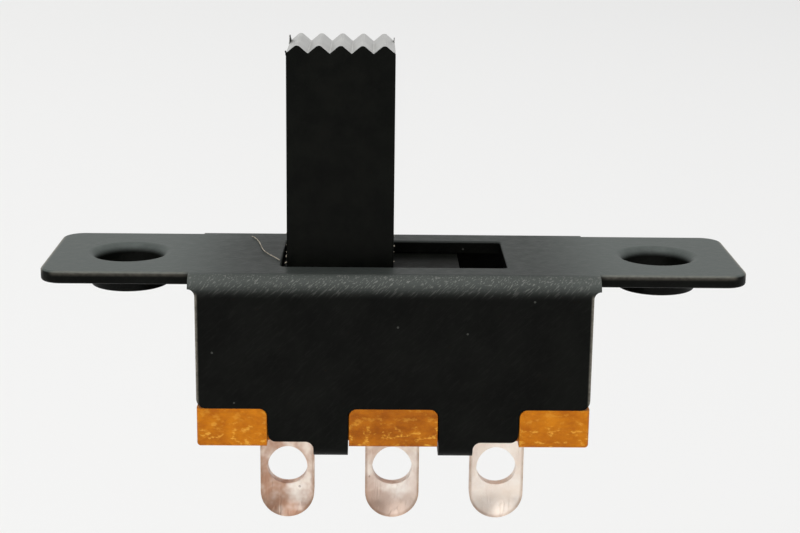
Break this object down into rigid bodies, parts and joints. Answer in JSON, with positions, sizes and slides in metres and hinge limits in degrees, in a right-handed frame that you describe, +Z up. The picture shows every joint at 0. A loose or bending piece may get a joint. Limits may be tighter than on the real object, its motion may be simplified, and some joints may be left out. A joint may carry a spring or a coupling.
{
  "type": "slide switch",
  "caption": "Small panel slide switch: folded steel frame with two drilled ears, tall ribbed slider handle and solder lugs on a laminate board.",
  "frame": {"origin": "midway between the two ear holes, on the top face of the plate", "axes": "+X along the slider's travel and the line of the ear holes, +Y to the back, +Z up along the handle"},
  "size_m": [0.0194, 0.0056, 0.0136],
  "materials": {
    "black_painted_steel": "satin black paint",
    "black_plastic": "moulded, finely mottled",
    "amber_laminate": "punched resin laminate",
    "plated_brass": "silver plated, slightly tarnished",
    "contact_bronze": "bright stamped strip",
    "spring_steel": "drawn wire"
  },
  "bodies": {
    "frame": {"frame": "black_painted_steel", "terminal_board": "amber_laminate", "terminal_left": "plated_brass", "terminal_common": "plated_brass", "terminal_right": "plated_brass"},
    "slider": {"slider": "black_plastic", "bridge_contact": "contact_bronze", "contact_spring": "spring_steel"}
  },
  "joints": [
    {"name": "slider_travel", "type": "slide", "parent": "frame", "child": "slider", "axis": [1, 0, 0], "range_m": [0, 0.003]}
  ]
}
